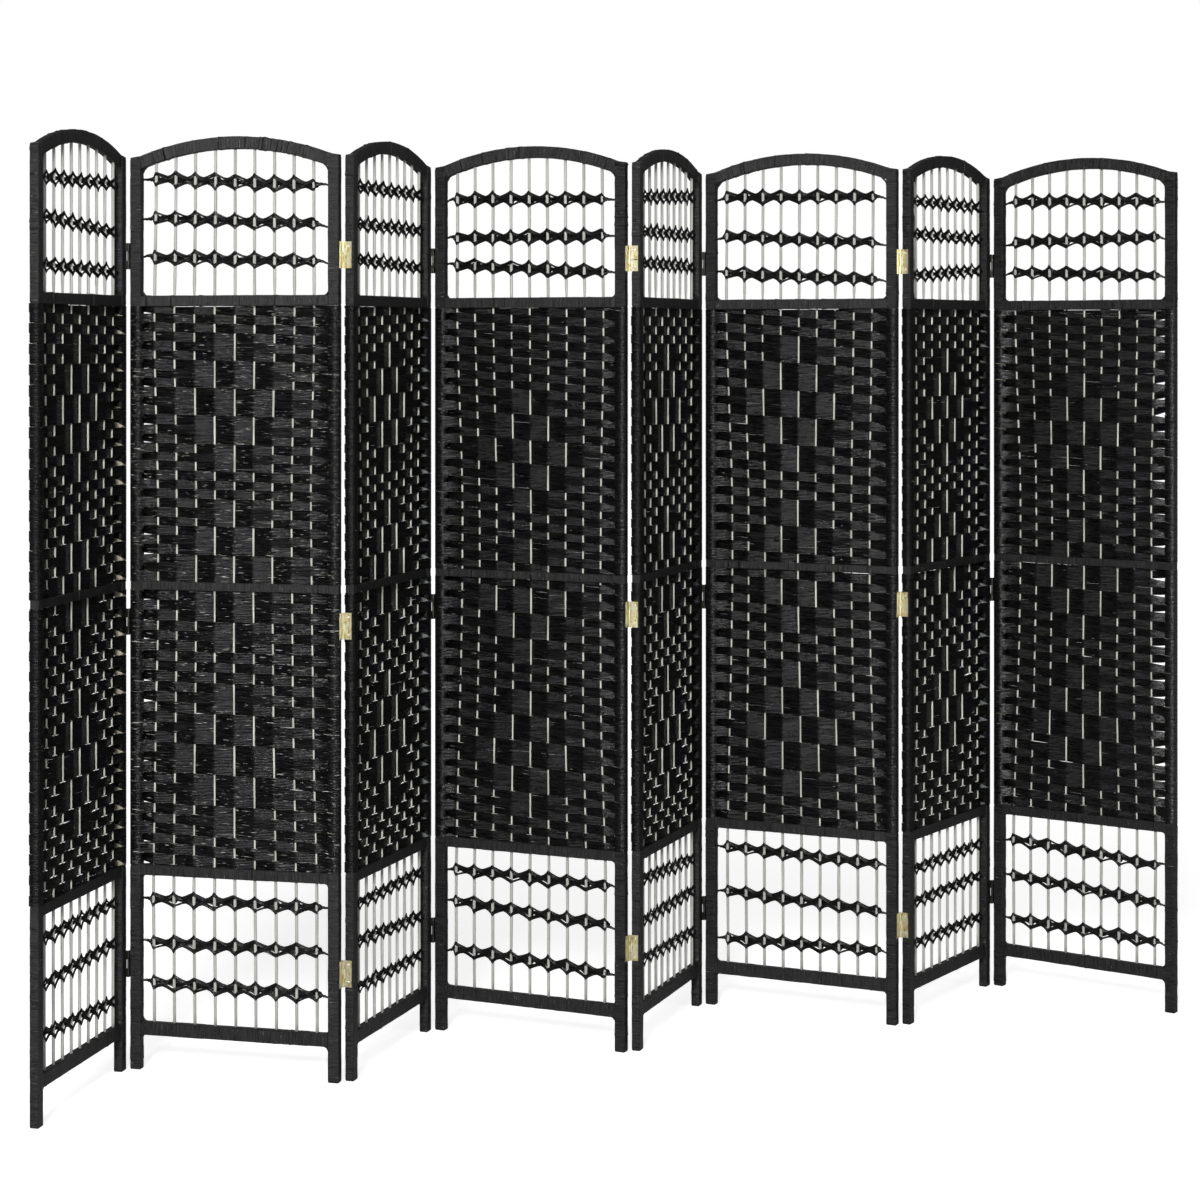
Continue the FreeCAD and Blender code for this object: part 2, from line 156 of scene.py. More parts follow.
# Bands: a front ribbon's distance from the middle at the rods (PEAK) and between
# them (WAIST), and half its own height there; half the height of the ribbon
# behind; and where the front ribbons' stations lie, as shares of a bay. In some
# bays one of them stands open: narrower by OPEN_NARROWING, higher by OPEN_RISE.
PEAK = 12.2
WAIST = 2.7
PEAK_HALF = 4.1
WAIST_HALF = 3.4
CORE_HALF = 7.2
BAND_END = 1.6
BAND_CORDS = 4
CORE_CORDS = 5
BAND_SWELL = 1.15
FIRST_PEAK = 0.80
LAST_PEAK = 0.72
PEAK_SPREAD = (0.88, 1.10)
FRONT_SHARES = (0.10, 0.24, 0.42, 0.60, 0.76, 0.90)
HOLE_CHANCE = 0.45
FLAG_CHANCE = 0.62
OPEN_NARROWING = 0.55
OPEN_RISE = 0.8
TAIL_LIE = -0.6
TAIL_START = 2.0
TAIL_SINK = 1.2
TAIL_TWIST = 8.0
TAIL_STATIONS = 11

# Radius of the fillets in the corners of posts and rails.
BOTTOM_CORNER = 10.5
LOWER_CORNER = 9.0
UPPER_CORNER = 12.0
ARCH_CORNER = 15.0

# Rows of each panel: plain rows before the first diamond, rows above the
# middle rail, rows that the rail hides, rows below it.
COURSES = {
    1: (3, 29, 1, 29),
    2: (3, 30, 0, 27),
    3: (4, 31, 0, 29),
    4: (10, 32, 1, 31),
    5: (4, 29, 1, 29),
    6: (3, 28, 1, 28),
    7: (5, 32, 0, 29),
    8: (8, 31, 1, 30),
}
DIAMONDS = 3
DIAMOND_REACH = (1, 2, 3, 2, 1)
GROUP_ROWS = 3
PLAIN_ROWS = 3

# How the rows lean: the fall of the right end over the rods' width, at five
# heights up the panel.
LEAN_LEVELS = (375.0, 600.0, 880.0, 1150.0, 1394.0)
LEANS = {
    1: (0, -3, 7, 6, -5),
    2: (-6, -3, -1, -5, -8),
    3: (0, 2, 6, 9, 9),
    4: (-7, -10, -12, -15, -13),
    5: (2, -1, -3, -4, 0),
    6: (-1, -6, -7, -13, -19),
    7: (1, -2, 0, 0, 2),
    8: (-5, -9, -5, -2, -12),
}

# How the rods bend sideways under the pull of the rows: the shift of the first,
# the middle and the last rod at seven heights, of the even panels one by one
# and of all the odd ones.
BEND_LEVELS = (90.0, 340.0, 620.0, 850.0, 1060.0, 1350.0, 1600.0)
BENDS = {
    2: ((-4, -6, -1, 4, 3, -5, 0), (2, 0, -1, -2, -1, 0, 1), (5, 5, -2, -5, -8, 0, -1)),
    4: ((-6, -6, 2, 8, 8, -4, -3), (0, 0, 1, 3, 2, 0, -2), (4, 6, -4, -5, -4, 2, -1)),
    6: ((-2, -4, 2, 7, 6, -6, -5), (2, 2, -1, -6, -6, -4, -2), (6, 6, -5, -9, -9, -4, -1)),
    8: ((-6, -7, 4, 10, 9, -3, -1), (-1, 0, -2, 1, 0, 1, 1), (3, 5, -5, -4, -5, 4, 3)),
    0: ((-4, -5, 3, 5, 6, -3, -3), (0, 0, -1, -2, -2, 0, 0), (4, 4, -3, -4, -4, 3, 3)),
}

# Openings between the rows beside the posts, and slits between the turns on
# the posts, as (left, right) sizes of each panel. A row has one of the shares
# below of its panel's size.
GAP_SHARES = (0.4, 1.0, 1.8, 2.4, 3.6)
SLIT_SHARES = (0.2, 0.7, 1.2, 1.6, 2.0)
SIDE_GAPS = {1: (0.3, 0.2), 2: (1.15, 0.4), 3: (0.2, 0.2), 4: (0.25, 0.3),
             5: (0.2, 0.2), 6: (0.15, 0.15), 7: (0.2, 0.2), 8: (0.15, 2.7)}
SIDE_SLITS = {1: (0.95, 3.6), 2: (0.8, 1.4), 3: (0.4, 3.0), 4: (1.3, 1.2),
              5: (0.4, 2.0), 6: (0.5, 1.2), 7: (0.5, 2.2), 8: (1.1, 1.3)}

# Height and lean of each band about its level, from the lowest band up.
BAND_SWAY = {
    1: ((-7, -16), (4, 5), (6, 0), (-10, -5), (-3, -16), (2, 5)),
    2: ((8, -6), (0, 0), (5, 0), (10, -9), (10, -15), (8, -16)),
    3: ((8, -7), (3, -16), (5, 0), (6, -8), (4, 0), (0, 0)),
    4: ((3, -15), (10, -16), (3, -4), (0, -16), (-10, 0), (-10, -6)),
    5: ((10, -9), (3, 0), (0, -15), (10, 0), (1, 4), (0, 14)),
    6: ((-10, 6), (-8, -11), (8, -8), (-10, -16), (-7, -16), (5, -5)),
    7: ((0, -4), (0, 0), (-10, 0), (-1, 16), (2, 0), (-5, 0)),
    8: ((-10, -6), (-10, -16), (-10, -16), (-2, -11), (-3, 5), (3, -8)),
}


def panel_axes(number):
    """Origin, direction along and direction backwards of a panel, read from its posts."""
    low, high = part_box("panel_%d_left_post" % number)
    left = (low + high) / 2
    low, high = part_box("panel_%d_right_post" % number)
    right = (low + high) / 2
    along = Vector((right.x - left.x, right.y - left.y, 0)).normalized()
    back = Vector((-along.y, along.x, 0))
    origin = Vector((left.x, left.y, 0)) - along * (POST_WIDTH / 2 * MM)
    return np.array(origin), np.array(along), np.array(back)


def to_frame(number, points):
    """Points of a panel in millimetres as points of the whole frame in metres."""
    origin, along, back = AXES[number]
    points = np.asarray(points) * MM
    flat = origin + points[:, :1] * along + points[:, 1:2] * back
    flat[:, 2] = points[:, 2]
    return flat


AXES = {number: panel_axes(number) for number in PANELS}


class Strands:
    """Tubes of one panel, gathered into one mesh."""

    def __init__(self, number):
        self.number = number
        self.points, self.quads, self.places = [], [], []
        self.count = 0

    def tube(self, path, up, side, half_up, half_side, sides, tone):
        """A closed tube along path; up and side span its section."""
        stations = len(path)
        turn = np.arange(sides) * (2 * math.pi / sides)
        wave_up, wave_side = np.cos(turn), np.sin(turn)
        rings = (path[:, None, :]
                 + up[:, None, :] * (half_up[:, None] * wave_up)[:, :, None]
                 + side[:, None, :] * (half_side[:, None] * wave_side)[:, :, None])
        runs = np.linalg.norm(np.diff(path, axis=0), axis=1)
        along = np.concatenate([[0.0], np.cumsum(runs)])
        place = np.empty((stations, sides, 3))
        place[:, :, 0] = along[:, None] * MM
        place[:, :, 1] = (turn / (2 * math.pi))[None, :]
        place[:, :, 2] = tone
        self.shell(rings, place)

    def shell(self, rings, place):
        """A closed skin over rings of points, with their cord places."""
        stations, sides = rings.shape[:2]
        ring = np.arange(stations - 1)[:, None] * sides
        k = np.arange(sides)[None, :]
        following = (k + 1) % sides
        walls = np.stack([ring + k, ring + following,
                          ring + sides + following, ring + sides + k], axis=-1)
        caps = []
        last = (stations - 1) * sides
        for j in range(sides // 2 - 1):
            caps.append([sides - 1 - j, sides - 2 - j, j + 1, j])
            caps.append([last + j, last + j + 1, last + sides - 2 - j, last + sides - 1 - j])
        self.points.append(rings.reshape(-1, 3))
        self.places.append(place.reshape(-1, 3))
        self.quads.append(walls.reshape(-1, 4) + self.count)
        self.quads.append(np.array(caps) + self.count)
        self.count += stations * sides

    def level_tube(self, path, half_up, half_side, tone):
        """A four-sided cord along a path that runs more or less level."""
        tangent = np.gradient(path[:, :2], axis=0)
        tangent /= np.linalg.norm(tangent, axis=1)[:, None]
        side = np.stack([tangent[:, 1], -tangent[:, 0], np.zeros(len(path))], axis=1)
        up = np.tile([0.0, 0.0, 1.0], (len(path), 1))
        self.tube(path, up, side, half_up, half_side, 4, tone)

    def mesh(self, name, material, slot, replaced=()):
        """One object of all the tubes, riding on the panel."""
        points = to_frame(self.number, np.concatenate(self.points))
        obj = mesh_of(name, points, np.concatenate(self.quads), np.concatenate(self.places))
        return dress(obj, self.number, material, replaced)


def new_object(name, data):
    """An object of data in the scene."""
    obj = bpy.data.objects.new(name, data)
    bpy.context.scene.collection.objects.link(obj)
    return obj


def mesh_of(name, points, quads, places=None):
    """A smooth-shaded mesh object of four-sided faces."""
    mesh = bpy.data.meshes.new(name)
    mesh.vertices.add(len(points))
    mesh.vertices.foreach_set("co", points.astype(np.float32).ravel())
    mesh.loops.add(quads.size)
    mesh.loops.foreach_set("vertex_index", quads.astype(np.int32).ravel())
    mesh.polygons.add(len(quads))
    mesh.polygons.foreach_set("loop_start", np.arange(0, quads.size, 4, dtype=np.int32))
    mesh.update(calc_edges=True)
    mesh.validate()
    mesh.shade_smooth()
    if places is not None:
        layer = mesh.attributes.new("cord_place", "FLOAT_VECTOR", "POINT")
        layer.data.foreach_set("vector", places.astype(np.float32).ravel())
    return new_object(name, mesh)


def dress(obj, number, material, replaced=()):
    """Gives a piece its material, and lets it ride on its panel."""
    obj.data.materials.append(material)
    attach(obj, "panel_%d" % number)
    if replaced:
        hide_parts(*replaced)
    return obj


class Nodes:
    """Short hand for building the nodes of a material or a world."""

    def __init__(self, block, shader="Principled BSDF"):
        self.block = block
        block.use_nodes = True
        self.tree = block.node_tree
        self.shader = self.tree.nodes[shader]

    def node(self, kind, inputs=(), **settings):
        """A new node. Its inputs are numbers, or other nodes' outputs to link to."""
        made = self.tree.nodes.new("ShaderNode" + kind)
        for key, value in settings.items():
            setattr(made, key, value)
        for key, value in dict(inputs).items():
            if isinstance(value, (float, tuple)):
                made.inputs[key].default_value = value
            else:
                self.join(value, made.inputs[key])
        return made

    def join(self, output, socket):
        self.tree.links.new(output, socket)

    def set(self, **values):
        for key, value in values.items():
            self.shader.inputs[key.replace("_", " ")].default_value = value

    def parts(self, vector):
        """Sockets X, Y and Z of a vector."""
        return self.node("SeparateXYZ", {"Vector": vector}).outputs

    def stretched(self, source, scale):
        """Coordinates from source, scaled per axis."""
        return self.node("Mapping", {"Vector": source, "Scale": scale}).outputs["Vector"]

    def noise(self, vector, scale, detail, rough):
        inputs = {"Vector": vector, "Scale": scale, "Detail": detail, "Roughness": rough}
        return self.node("TexNoise", inputs).outputs["Fac"]

    def ramp(self, fac, *stops):
        """Colour ramp of (position, colour) stops."""
        made = self.node("ValToRGB", {"Fac": fac})
        while len(made.color_ramp.elements) < len(stops):
            made.color_ramp.elements.new(0.5)
        for element, (position, colour) in zip(made.color_ramp.elements, stops):
            element.position = position
            element.color = (*colour, 1.0)
        return made.outputs["Color"]

    def mix(self, fac, first, second, blend="MIX"):
        inputs = {"Factor": fac, "A": first, "B": second}
        return self.node("Mix", inputs, data_type="RGBA", blend_type=blend).outputs["Result"]

    def math(self, operation, first, second=0.0):
        return self.node("Math", {0: first, 1: second}, operation=operation).outputs["Value"]

    def mapped(self, fac, kind="LINEAR", **limits):
        """Map Range of fac, with the limits that aren't 0 and 1."""
        inputs = {key.replace("_", " "): value for key, value in limits.items()}
        inputs["Value"] = fac
        return self.node("MapRange", inputs, interpolation_type=kind).outputs["Result"]

    def spread(self, fac, low, high):
        """Value low-high spread to 0-1, cut off at both ends."""
        return self.mapped(fac, From_Min=low, From_Max=high)

    def range(self, fac, low, high):
        """Value spread from 0-1 to low-high."""
        return self.mapped(fac, To_Min=low, To_Max=high)

    def bump(self, height, strength, distance):
        made = self.node("Bump", {"Height": height, "Strength": strength, "Distance": distance})
        self.join(made.outputs["Normal"], self.shader.inputs["Normal"])

    def edges(self, radius):
        """1 along edges, 0 on flat faces, from the bevelled normal."""
        bevel = self.node("Bevel", {"Radius": radius}, samples=4).outputs["Normal"]
        flat = self.node("NewGeometry").outputs["Normal"]
        dot = self.node("VectorMath", {0: bevel, 1: flat}, operation="DOT_PRODUCT")
        return self.spread(dot.outputs["Value"], 0.97, 0.80)


CORD_TURNS_PER_METRE = 420.0
# Radius of the paler edges on black wood: partly wear, partly painted highlight.
PALE_EDGE_RADIUS = 0.0012


def cord_material(name, flecks, rough, gloss):
    """Black twisted paper cord: streaks along the cord, twist lines, pale flecks painted as glints.
    rough and gloss are (low, high), and flecks says how many painted glint flecks, up to 1."""
    n = Nodes(bpy.data.materials.new(name))
    place = n.node("Attribute", attribute_name="cord_place").outputs["Vector"]
    streaks = n.noise(n.stretched(place, (34.0, 2.0, 61.0)), 1.0, 3.0, 0.7)
    fibres = n.noise(n.stretched(place, (52.0, 4.0, 37.0)), 1.0, 2.0, 0.5)
    tone = n.ramp(streaks, (0.30, (0.0012, 0.0013, 0.0014)), (0.52, (0.0040, 0.0040, 0.0041)),
                  (0.72, (0.011, 0.0108, 0.0104)))
    # Pale flecks added to the colour: painted glints.
    painted_glints = n.ramp(fibres, (0.76 - 0.09 * flecks, (0.0, 0.0, 0.0)),
                  (0.81 - 0.10 * flecks, (0.55, 0.55, 0.51)))
    n.join(n.mix(0.9, tone, painted_glints, "ADD"), n.shader.inputs["Base Color"])
    even = n.spread(streaks, 0.35, 0.65)
    n.join(n.range(even, *rough), n.shader.inputs["Roughness"])
    n.join(n.range(even, *gloss), n.shader.inputs["Specular IOR Level"])
    along, around, _ = n.parts(place)
    slant = n.math("ADD", n.math("MULTIPLY", along, CORD_TURNS_PER_METRE), around)
    twist = n.math("SINE", n.math("MULTIPLY", slant, 2 * math.pi))
    n.bump(n.math("ADD", n.math("MULTIPLY", twist, 0.04), streaks), 0.6, 0.0011)
    return n.block


def rod_material():
    """Greyish straw rods with fine grain along them and darker joints."""
    n = Nodes(bpy.data.materials.new("straw_rod"))
    place = n.node("Attribute", attribute_name="cord_place").outputs["Vector"]
    grain = n.noise(n.stretched(place, (9.0, 14.0, 41.0)), 1.0, 4.0, 0.7)
    patches = n.noise(n.stretched(place, (26.0, 1.0, 23.0)), 1.0, 2.0, 0.5)
    tone = n.ramp(grain, (0.32, (0.43, 0.445, 0.375)), (0.52, (0.67, 0.69, 0.61)),
                  (0.72, (0.81, 0.825, 0.755)))
    shade = n.ramp(patches, (0.30, (0.62, 0.62, 0.60)), (0.60, (1.0, 1.0, 1.0)))
    tone = n.mix(1.0, tone, shade, "MULTIPLY")
    # Darker tone where the rods stand in the openings, below the lower rail and above the upper.
    height = n.parts(n.node("TexCoord").outputs["Object"])["Z"]
    low = n.math("LESS_THAN", height, LOWER_RAIL[0] * MM)
    high = n.math("GREATER_THAN", height, UPPER_RAIL[1] * MM)
    open_part_tone = n.ramp(grain, (0.30, (0.26, 0.26, 0.235)), (0.50, (0.47, 0.47, 0.44)),
                      (0.72, (0.68, 0.68, 0.65)))
    n.join(n.mix(n.math("MAXIMUM", low, high), tone, open_part_tone), n.shader.inputs["Base Color"])
    n.join(n.range(grain, 0.45, 0.70), n.shader.inputs["Roughness"])
    n.bump(grain, 0.4, 0.0003)
    n.set(Specular_IOR_Level=0.35)
    return n.block


def black_wood(n, coordinates, grain_scale):
    """Black stained wood with edges painted paler, partly as wear and partly as painted
    highlight: relief and sheen of a material, and its colour and grain, which are returned."""
    grain = n.noise(n.stretched(coordinates, grain_scale), 1.0, 5.0, 0.62)
    clouds = n.noise(coordinates, 34.0, 3.0, 0.5)
    tone = n.ramp(grain, (0.30, (0.0085, 0.0085, 0.0088)), (0.55, (0.0155, 0.0152, 0.0150)),
                  (0.78, (0.030, 0.028, 0.026)))
    # Paler edges, partly wear and partly painted highlight.
    wear_and_highlight_tone = n.ramp(grain, (0.3, (0.045, 0.042, 0.039)), (0.8, (0.11, 0.10, 0.09)))
    wear_and_highlight_mask = n.math("MULTIPLY", n.edges(PALE_EDGE_RADIUS), n.range(clouds, 0.15, 0.9))
    n.join(n.range(clouds, 0.34, 0.58), n.shader.inputs["Roughness"])
    n.bump(grain, 0.35, 0.0004)
    n.set(Specular_IOR_Level=0.35)
    return n.mix(wear_and_highlight_mask, tone, wear_and_highlight_tone), grain


def rail_material():
    """Black stained rails."""
    n = Nodes(bpy.data.materials.new("black_rail"))
    coordinates = n.node("TexCoord").outputs["Object"]
    tone, _ = black_wood(n, coordinates, (14.0, 14.0, 420.0))
    n.join(tone, n.shader.inputs["Base Color"])
    return n.block


def post_material(name, bare_low, bare_high):
    """Posts: black outside the woven fields, bare wood under the cords."""
    n = Nodes(bpy.data.materials.new(name))
    coordinates = n.node("TexCoord").outputs["Object"]
    tone, grain = black_wood(n, coordinates, (420.0, 420.0, 14.0))
    bare = n.ramp(grain, (0.30, bare_low), (0.75, bare_high))
    height = n.parts(coordinates)["Z"]
    above = n.math("GREATER_THAN", height, LOWER_RAIL[1] * MM)
    below = n.math("LESS_THAN", height, UPPER_RAIL[0] * MM)
    middle = (MIDDLE_RAIL[0] + MIDDLE_RAIL[1]) / 2 * MM
    apart = n.math("ABSOLUTE", n.math("SUBTRACT", height, middle))
    clear = n.math("GREATER_THAN", apart, (MIDDLE_RAIL[1] - MIDDLE_RAIL[0]) / 2 * MM)
    shown = n.math("MULTIPLY", n.math("MULTIPLY", above, below), clear)
    n.join(n.mix(shown, tone, bare), n.shader.inputs["Base Color"])
    return n.block


def brass_material(name, light, dark):
    """Brushed brass plate with duller patches, with painted shade on the rear joints."""
    n = Nodes(bpy.data.materials.new(name))
    coordinates = n.node("TexCoord").outputs["Object"]
    patches = n.noise(n.stretched(coordinates, (260.0, 260.0, 70.0)), 1.0, 3.0, 0.6)
    brushed = n.noise(n.stretched(coordinates, (300.0, 300.0, 2600.0)), 1.0, 2.0, 0.5)
    rose = n.ramp(n.noise(coordinates, 120.0, 2.0, 0.5),
                  (0.42, (1.0, 1.0, 1.0)), (0.62, (1.0, 0.87, 0.86)))
    tone = n.ramp(patches, (0.34, dark), (0.48, light), (0.64, (0.92, 0.92, 0.80)))
    tone = n.mix(1.0, tone, rose, "MULTIPLY")
    # Painted shade: behind JOINTS_MIDDLE the brass is painted dark, as if it lay in shade.
    rear = n.math("GREATER_THAN", n.parts(coordinates)["Y"], JOINTS_MIDDLE)
    rear_painted_shade = n.ramp(patches, (0.40, (0.030, 0.028, 0.024)), (0.68, (0.12, 0.115, 0.10)))
    n.join(n.mix(rear, tone, rear_painted_shade), n.shader.inputs["Base Color"])
    n.join(n.range(patches, 0.50, 0.28), n.shader.inputs["Roughness"])
    n.bump(brushed, 0.12, 0.0001)
    n.set(Metallic=1.0)
    return n.block


# Middle of the hinges' Y: the rear joints lie behind it, and their brass is painted dark as shade.
JOINTS_MIDDLE = sum(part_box("panel_%d_hinges" % number)[side].y
                    for number in PANELS for side in (0, 1)) / (2 * len(PANELS))

# The second value says how many painted glint flecks a cord shows.
PLAIN_CORD = cord_material("black_paper_cord", 0.0, (0.22, 0.44), (0.36, 0.68))
GLINT_FLECKED_CORD = cord_material("glint_flecked_paper_cord", 1.0, (0.24, 0.46), (0.28, 0.56))
DULL_CORD = cord_material("dull_paper_cord", 0.0, (0.28, 0.50), (0.16, 0.36))
SLEEK_CORD = cord_material("sleek_paper_cord", 0.0, (0.22, 0.42), (0.60, 1.0))
CORD = {1: DULL_CORD, 2: GLINT_FLECKED_CORD, 3: DULL_CORD, 4: PLAIN_CORD,
        5: DULL_CORD, 6: PLAIN_CORD, 7: DULL_CORD, 8: SLEEK_CORD}
WRAP = cord_material("wound_paper_cord", 0.45, (0.34, 0.66), (0.12, 0.80))
STRAW = rod_material()
RAIL = rail_material()
PALE_POST = post_material("pale_post", (0.28, 0.26, 0.20), (0.44, 0.41, 0.33))
GREY_POST = post_material("grey_post", (0.12, 0.128, 0.13), (0.22, 0.232, 0.235))
DARK_POST = post_material("dark_post", (0.020, 0.021, 0.022), (0.045, 0.047, 0.048))
POST = {1: PALE_POST, 2: PALE_POST, 3: GREY_POST, 4: GREY_POST,
        5: DARK_POST, 6: GREY_POST, 7: GREY_POST, 8: PALE_POST}
BRASS = brass_material("hinge_brass", (0.82, 0.83, 0.48), (0.50, 0.38, 0.17))
SCREW = brass_material("screw_brass", (0.90, 0.89, 0.80), (0.70, 0.66, 0.52))
PIN_BRASS = brass_material("pin_brass", (0.42, 0.37, 0.22), (0.14, 0.10, 0.05))


def arch_underside(x):
    """Height of the arched rail's lower edge at x."""
    inner = ARCH_OUTER - ARCH_RAIL
    return ARCH_CENTRE + math.sqrt(inner**2 - (x - PANEL_WIDTH / 2) ** 2)


def rod_shift(number, rod, z):
    """Sideways bend of a rod, counted from 0, at the heights z."""
    first, middle, last = BENDS.get(number, BENDS[0])
    half = (ROD_COUNT - 1) / 2
    outer = first if rod < half else last
    share = abs(rod - half) / half
    bend = [m + (o - m) * share for m, o in zip(middle, outer)]
    return sum(np.interp(np.add(z, away), BEND_LEVELS, bend)
               for away in (BEND_BLUR, -BEND_BLUR, 0.0)) / 3


def rods_at(number, z):
    """Places of the nine rods along the panel at height z."""
    return [x + float(rod_shift(number, r, z)) for r, x in enumerate(RODS)]


def make_rods(number):
    """Nine slightly uneven straw rods, from the bottom rail into the arched rail."""
    dice = random.Random(SEEDS["rods"] + number)
    rods = Strands(number)
    for r, x in enumerate(RODS):
        low, high = BOTTOM_RAIL[1] - ROD_SEAT, arch_underside(x) + ROD_SEAT
        stations = int((high - low) / ROD_STEP) + 1
        z = np.linspace(low, high, stations)
        phases = [dice.uniform(0, 6.28) for _ in ROD_WAVES]
        bow = dice.uniform(*ROD_BOW)
        slow, quick, deep, thick = [np.sin(z / length + phase)
                                    for length, phase in zip(ROD_WAVES, phases)]
        sway = bow * slow + ROD_SWAY * quick
        open_part = (z < LOWER_RAIL[0]) | (z > UPPER_RAIL[1])
        uneven = np.array([dice.uniform(-ROD_UNEVEN, ROD_UNEVEN) for _ in z])
        girth = ROD_RADIUS * (np.where(open_part, OPEN_GIRTH, WOVEN_GIRTH)
                              + ROD_UNEVEN * thick + uneven)
        path = np.stack([x + sway + rod_shift(number, r, z), ROD_DIP * deep, z], axis=1)
        up = np.tile([1.0, 0.0, 0.0], (stations, 1))
        side = np.tile([0.0, 1.0, 0.0], (stations, 1))
        rods.tube(path, up, side, girth, girth, ROD_SIDES, dice.random())
    rods.mesh("panel_%d_round_rods" % number, STRAW, "rods", ["panel_%d_rods" % number])


def course_states(row, first_plain):
    """Where row passes in front of the rods (1) or behind them (-1), and whether
    it passes in front of the posts."""
    into = row - first_plain
    shows_odd = into % 2 == 0
    odd = -1 if shows_odd else 1
    states = [-odd if r % 2 else odd for r in range(ROD_COUNT)]
    period = GROUP_ROWS * len(DIAMOND_REACH) + PLAIN_ROWS
    if 0 <= into < DIAMONDS * period:
        group, inside = divmod(into % period, GROUP_ROWS)
        if group < len(DIAMOND_REACH) and inside == 1:
            reach = DIAMOND_REACH[group]
            states = [-s if abs(r - ROD_COUNT // 2) <= reach else s
                      for r, s in enumerate(states)]
    return states, shows_odd


def post_front(gap):
    """Stations of a row that comes in front of the left post, from its tail at
    the post's back to its front inner edge: x, y, rise in pitches, half depth,
    cut from the top, cut from the bottom. The last y is worked out later."""
    middle, side = POST_WIDTH / 2, POST_DEPTH / 2 - POST_EDGE
    return [
        (18.5, POST_LIE, 0.65, POST_CORD, 0, 0),
        (middle, POST_LIE + 0.25, 0.40, POST_CORD, 0, 0),
        (POST_EDGE, POST_LIE, 0.12, POST_CORD, 0, 0),
        (POST_END, side, 0.08, END_CORD, 0, 0),
        (POST_END, -side, 0.02, END_CORD, 0, 0),
        (POST_EDGE, -POST_LIE, 0.01, POST_CORD, 0, 0),
        (middle, -POST_LIE - 0.35, 0.0, POST_CORD, 0, 0),
        (18.2, -POST_LIE, 0.0, POST_CORD,
         gap * 0.5 - SIDE_BULGE * 0.6, SIDE_BULGE * -0.6),
        (20.6, 1.2 - POST_DEPTH / 2, 0.0, CORD_DEPTH, gap - SIDE_BULGE, -SIDE_BULGE),
        (RUN_IN, None, 0.0, CORD_DEPTH, gap * 0.66 - SIDE_BULGE * 0.8, SIDE_BULGE * -0.8),
    ]


def post_back(gap, slit):
    """Stations of a row that comes behind the left post: its tail rises over the
    post's inner face, then it runs over the front and round the back."""
    middle, side = POST_WIDTH / 2, POST_DEPTH / 2 - POST_EDGE
    inner, tail = POST_WIDTH - POST_EDGE, POST_WIDTH + 0.7
    return [
        (tail, POST_DEPTH / 2 - 1.0, -0.35, POST_CORD, slit, 0),
        (tail, -side, -0.10, POST_CORD, slit * 0.8, 0),
        (inner, -POST_LIE, -0.05, POST_CORD, slit * 0.7, 0),
        (middle, -POST_LIE - 0.35, -0.03, POST_CORD, slit * 0.5, 0),
        (POST_EDGE, -POST_LIE, -0.01, POST_CORD, slit * 0.2, 0),
        (POST_END, -side, 0.0, END_CORD, 0, 0),
        (POST_END, side, 0.0, END_CORD, 0, 0),
        (POST_EDGE, POST_OVER, 0.0, POST_CORD, 0, 0),
        (middle, POST_OVER + 0.2, 0.0, POST_CORD, 0, 0),
        (inner, POST_OVER, 0.0, POST_CORD, 0, gap * 0.3),
        (20.8, POST_OVER - 1.3, 0.0, CORD_DEPTH, 0, gap * 0.6),
        (RUN_IN, None, 0.0, CORD_DEPTH, 0, gap * 0.4),
    ]


def field_stations(number, states, dice, shows_odd, rods):
    """All stations of one row from its left tail to its right tail."""
    def side(end):
        gap = dice.choice(GAP_SHARES) * SIDE_GAPS[number][end] - SIDE_LAP
        slit = dice.choice(SLIT_SHARES) * SIDE_SLITS[number][end]
        return post_front(gap) if shows_odd else post_back(gap, slit)

    left, right = side(0), side(1)
    lies = [-state * ROW_LIE for state in states]
    slopes = [(lies[r + 1] - lies[r]) / (rods[r + 1] - rods[r] - 2 * ROD_BEND)
              for r in range(ROD_COUNT - 1)]
    middle = []
    run = ROD_NEAR - ROD_BEND
    for r, (x, y) in enumerate(zip(rods, lies)):
        if r > 0:
            middle.append((x - ROD_NEAR, y - slopes[r - 1] * run, 0, CORD_DEPTH, 0, 0))
        middle.append((x - ROD_BEND, y, 0, CORD_DEPTH, 0, 0))
        middle.append((x + ROD_BEND, y, 0, CORD_DEPTH, 0, 0))
        if r < ROD_COUNT - 1:
            middle.append((x + ROD_NEAR, y + slopes[r] * run, 0, CORD_DEPTH, 0, 0))
    right = [(PANEL_WIDTH - x, y, -rise, depth, low, high)
             for x, y, rise, depth, high, low in reversed(right)]
    rows = left + middle + right
    first, last = len(left), len(left) + len(middle) - 1
    rows[first - 1] = between(rows[first - 2], rows[first], rows[first - 1])
    rows[last + 1] = between(rows[last], rows[last + 2], rows[last + 1])
    return np.array(rows, float)


def between(first, second, station):
    """A station whose y lies on the straight line from first to second."""
    part = (station[0] - first[0]) / (second[0] - first[0])
    return (station[0], first[1] + part * (second[1] - first[1]), *station[2:])


